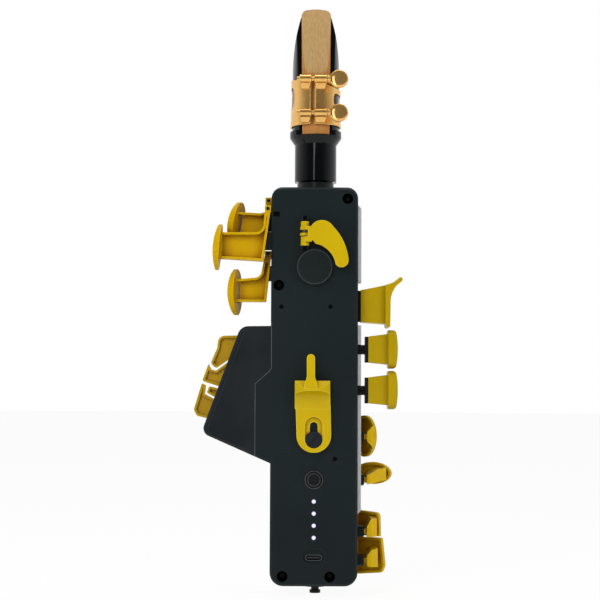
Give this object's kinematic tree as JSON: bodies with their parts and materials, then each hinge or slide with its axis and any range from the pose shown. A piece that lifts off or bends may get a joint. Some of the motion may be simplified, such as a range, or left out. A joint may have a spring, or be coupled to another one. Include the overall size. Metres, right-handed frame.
{
  "type": "digital wind controller",
  "caption": "Saxophone-style electronic wind controller: dark housing with side wing, yellow keys, thumb rest and hook, mouthpiece with reed and ligature.",
  "frame": {"origin": "centre of the thumb rest's face, on the back of the instrument", "axes": "+Z points to the mouthpiece, -Y is the back that the thumbs rest on, +X is the side of the side keys"},
  "size_m": [0.1159, 0.0562, 0.3274],
  "materials": {
    "housing_plastic": "fine satin",
    "wing_plastic": "fine grain",
    "key_plastic": "glossy",
    "black_plastic": "satin",
    "rest_plastic": "satin",
    "mouthpiece_plastic": "polished",
    "collar_plastic": "satin",
    "cane": "bare grain",
    "cork": "bare",
    "lacquered_brass": "polished and lacquered",
    "screw_steel": "dark plated",
    "pin_steel": "turned",
    "lamp_plastic": "clear, lit from behind",
    "board": "solder mask",
    "battery_wrap": "foil",
    "switch_plastic": "plain",
    "duct_plastic": "plain"
  },
  "bodies": {
    "housing": {"back_shell": "housing_plastic", "wing_cover": "wing_plastic", "front_shell": "housing_plastic", "neck_tenon": "collar_plastic", "tenon_cork": "cork", "air_tube": "duct_plastic", "thumb_rest": "rest_plastic", "octave_hinge_pin": "pin_steel", "octave_spring": "pin_steel", "thumb_hook_screw": "screw_steel", "light_pipes": "lamp_plastic", "usb_socket": "pin_steel", "circuit_board": "board", "key_board": "board", "battery": "battery_wrap", "key_switches": "switch_plastic", "table_key_rod": "pin_steel"},
    "octave_key": {"octave_key": "key_plastic"},
    "palm_key_middle": {"palm_key_middle": "key_plastic", "palm_foot_middle": "black_plastic"},
    "palm_key_upper": {"palm_key_upper": "key_plastic", "palm_foot_upper": "black_plastic"},
    "palm_key_lower": {"palm_key_lower": "key_plastic", "palm_foot_lower": "black_plastic"},
    "g_sharp_key": {"g_sharp_key": "key_plastic"},
    "c_sharp_key": {"c_sharp_key": "key_plastic"},
    "low_b_key": {"low_b_key": "key_plastic"},
    "low_b_flat_key": {"low_b_flat_key": "key_plastic"},
    "front_f_key": {"front_f_key": "key_plastic"},
    "b_key": {"b_key": "key_plastic"},
    "bis_key": {"bis_key": "key_plastic"},
    "a_key": {"a_key": "key_plastic"},
    "g_key": {"g_key": "key_plastic"},
    "f_key": {"f_key": "key_plastic"},
    "e_key": {"e_key": "key_plastic"},
    "d_key": {"d_key": "key_plastic"},
    "side_e_key": {"side_e_key": "key_plastic", "side_e_plunger": "black_plastic"},
    "side_c_key": {"side_c_key": "key_plastic", "side_c_plunger": "black_plastic"},
    "side_b_flat_key": {"side_b_flat_key": "key_plastic", "side_b_flat_plunger": "black_plastic"},
    "high_f_sharp_key": {"high_f_sharp_key": "key_plastic", "high_f_sharp_plunger": "black_plastic"},
    "trill_key": {"trill_key": "key_plastic", "trill_plunger": "black_plastic"},
    "low_e_flat_key": {"low_e_flat_key": "key_plastic", "low_e_flat_plunger": "black_plastic"},
    "low_c_key": {"low_c_key": "key_plastic", "low_c_plunger": "black_plastic"},
    "power_button": {"power_button": "black_plastic"},
    "thumb_hook": {"thumb_hook": "key_plastic"},
    "mouthpiece": {"mouthpiece": "mouthpiece_plastic", "reed": "cane", "ligature": "lacquered_brass"},
    "ligature_screw_lower": {"ligature_screw_lower": "lacquered_brass"},
    "ligature_screw_upper": {"ligature_screw_upper": "lacquered_brass"},
    "drain_plug": {"drain_plug": "black_plastic"}
  },
  "joints": [
    {"name": "octave_key_hinge", "type": "hinge", "parent": "housing", "child": "octave_key", "pos_m": [-0.0054, 0.0002, 0.018], "axis": [0, 0, 1], "range_deg": [0, 5], "stiffness_Nm_per_rad": 0.02, "springref_deg": -4.98},
    {"name": "palm_key_middle_hinge", "type": "hinge", "parent": "housing", "child": "palm_key_middle", "pos_m": [-0.026, 0.012, 0.0326], "axis": [0, -1, 0], "range_deg": [0, 6], "stiffness_Nm_per_rad": 0.02, "springref_deg": -4.98},
    {"name": "palm_key_upper_hinge", "type": "hinge", "parent": "housing", "child": "palm_key_upper", "pos_m": [-0.026, 0.012, 0.0386], "axis": [0, -1, 0], "range_deg": [0, 5], "stiffness_Nm_per_rad": 0.02, "springref_deg": -4.98},
    {"name": "palm_key_lower_hinge", "type": "hinge", "parent": "housing", "child": "palm_key_lower", "pos_m": [-0.026, 0.012, 0.008], "axis": [0, -1, 0], "range_deg": [0, 4], "stiffness_Nm_per_rad": 0.02, "springref_deg": -4.98},
    {"name": "g_sharp_key_hinge", "type": "hinge", "parent": "housing", "child": "g_sharp_key", "pos_m": [-0.029, 0.0196, -0.06], "axis": [0, 0, 1], "range_deg": [0, 3.5], "stiffness_Nm_per_rad": 0.02, "springref_deg": -4.98},
    {"name": "c_sharp_key_hinge", "type": "hinge", "parent": "housing", "child": "c_sharp_key", "pos_m": [-0.029, 0.0196, -0.06], "axis": [0, 0, 1], "range_deg": [0, 3.5], "stiffness_Nm_per_rad": 0.02, "springref_deg": -4.98},
    {"name": "low_b_key_hinge", "type": "hinge", "parent": "housing", "child": "low_b_key", "pos_m": [-0.029, 0.0196, -0.06], "axis": [0, 0, 1], "range_deg": [0, 3.5], "stiffness_Nm_per_rad": 0.02, "springref_deg": -4.98},
    {"name": "low_b_flat_key_hinge", "type": "hinge", "parent": "housing", "child": "low_b_flat_key", "pos_m": [-0.029, 0.0196, -0.06], "axis": [0, 0, 1], "range_deg": [0, 3.5], "stiffness_Nm_per_rad": 0.02, "springref_deg": -4.98},
    {"name": "front_f_key_press", "type": "slide", "parent": "housing", "child": "front_f_key", "axis": [0, -1, 0], "range_m": [0, 0.0024], "stiffness_N_per_m": 200, "springref_m": -0.001},
    {"name": "b_key_press", "type": "slide", "parent": "housing", "child": "b_key", "axis": [0, -1, 0], "range_m": [0, 0.0024], "stiffness_N_per_m": 200, "springref_m": -0.001},
    {"name": "bis_key_press", "type": "slide", "parent": "housing", "child": "bis_key", "axis": [0, -1, 0], "range_m": [0, 0.0024], "stiffness_N_per_m": 200, "springref_m": -0.001},
    {"name": "a_key_press", "type": "slide", "parent": "housing", "child": "a_key", "axis": [0, -1, 0], "range_m": [0, 0.0024], "stiffness_N_per_m": 200, "springref_m": -0.001},
    {"name": "g_key_press", "type": "slide", "parent": "housing", "child": "g_key", "axis": [0, -1, 0], "range_m": [0, 0.0024], "stiffness_N_per_m": 200, "springref_m": -0.001},
    {"name": "f_key_press", "type": "slide", "parent": "housing", "child": "f_key", "axis": [0, -1, 0], "range_m": [0, 0.0024], "stiffness_N_per_m": 200, "springref_m": -0.001},
    {"name": "e_key_press", "type": "slide", "parent": "housing", "child": "e_key", "axis": [0, -1, 0], "range_m": [0, 0.0024], "stiffness_N_per_m": 200, "springref_m": -0.001},
    {"name": "d_key_press", "type": "slide", "parent": "housing", "child": "d_key", "axis": [0, -1, 0], "range_m": [0, 0.0024], "stiffness_N_per_m": 200, "springref_m": -0.001},
    {"name": "side_e_key_press", "type": "slide", "parent": "housing", "child": "side_e_key", "axis": [-1, 0, 0], "range_m": [0, 0.0017], "stiffness_N_per_m": 200, "springref_m": -0.001},
    {"name": "side_c_key_press", "type": "slide", "parent": "housing", "child": "side_c_key", "axis": [-1, 0, 0], "range_m": [0, 0.002], "stiffness_N_per_m": 200, "springref_m": -0.001},
    {"name": "side_b_flat_key_press", "type": "slide", "parent": "housing", "child": "side_b_flat_key", "axis": [-1, 0, 0], "range_m": [0, 0.002], "stiffness_N_per_m": 200, "springref_m": -0.001},
    {"name": "high_f_sharp_key_press", "type": "slide", "parent": "housing", "child": "high_f_sharp_key", "axis": [-1, 0, 0], "range_m": [0, 0.002], "stiffness_N_per_m": 200, "springref_m": -0.001},
    {"name": "trill_key_press", "type": "slide", "parent": "housing", "child": "trill_key", "axis": [-1, 0, 0], "range_m": [0, 0.002], "stiffness_N_per_m": 200, "springref_m": -0.001},
    {"name": "low_e_flat_key_press", "type": "slide", "parent": "housing", "child": "low_e_flat_key", "axis": [-1, 0, 0], "range_m": [0, 0.002], "stiffness_N_per_m": 200, "springref_m": -0.001},
    {"name": "low_c_key_press", "type": "slide", "parent": "housing", "child": "low_c_key", "axis": [-1, 0, 0], "range_m": [0, 0.002], "stiffness_N_per_m": 200, "springref_m": -0.001},
    {"name": "power_button_press", "type": "slide", "parent": "housing", "child": "power_button", "axis": [0, 1, 0], "range_m": [0, 0.0004], "stiffness_N_per_m": 600, "springref_m": -0.0005},
    {"name": "thumb_hook_slide", "type": "slide", "parent": "housing", "child": "thumb_hook", "axis": [0, 0, -1], "range_m": [0, 0.0072]},
    {"name": "mouthpiece_slide", "type": "slide", "parent": "housing", "child": "mouthpiece", "axis": [0, 0, 1], "range_m": [0, 0.01]},
    {"name": "ligature_screw_lower_turn", "type": "hinge", "parent": "mouthpiece", "child": "ligature_screw_lower", "pos_m": [0.0132, 0.005, 0.0864], "axis": [1, 0, 0], "continuous": true},
    {"name": "ligature_screw_upper_turn", "type": "hinge", "parent": "mouthpiece", "child": "ligature_screw_upper", "pos_m": [0.0132, 0.005, 0.1054], "axis": [1, 0, 0], "continuous": true},
    {"name": "drain_plug_slide", "type": "slide", "parent": "housing", "child": "drain_plug", "axis": [0, 0, -1], "range_m": [0, 0.006]}
  ]
}
